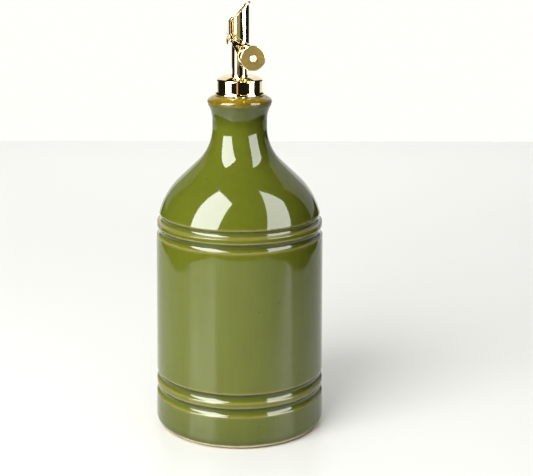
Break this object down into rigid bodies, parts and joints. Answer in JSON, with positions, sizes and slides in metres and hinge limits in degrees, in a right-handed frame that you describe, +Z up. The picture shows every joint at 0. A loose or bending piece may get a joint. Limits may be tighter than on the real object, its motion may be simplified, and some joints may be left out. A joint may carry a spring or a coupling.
{
  "type": "oil dispenser bottle",
  "caption": "Glazed ceramic oil bottle with ringed grooves, a narrow neck and a metal pourer whose weighted flap shuts the spout by itself.",
  "frame": {"origin": "centre of the foot's underside, on the surface that the bottle stands on", "axes": "+Z up along the bottle's axis, +X towards the side that the oil pours to, -Y towards the side that the weight hangs on"},
  "size_m": [0.0828, 0.0828, 0.2064],
  "materials": {
    "glaze": "glossy olive green glaze, amber where it thins at the lip",
    "gold_metal": "polished gold-coloured metal",
    "turned_gold": "gold-coloured metal with a fine turned face",
    "plug_rubber": "matt black rubber"
  },
  "bodies": {
    "vessel": {"bottle": "glaze", "plug": "plug_rubber", "collar": "gold_metal", "spout_tube": "gold_metal", "spout_sleeve": "gold_metal", "hinge_lug": "gold_metal", "hinge_pin": "gold_metal"},
    "flap": {"flap": "gold_metal", "weight": "turned_gold", "weight_rivet": "gold_metal"}
  },
  "joints": [
    {"name": "flap_swing", "type": "hinge", "parent": "vessel", "child": "flap", "pos_m": [-0.00454, -0.00072, 0.1886], "axis": [0.1564, -0.9877, 0], "range_deg": [0, 70]}
  ]
}
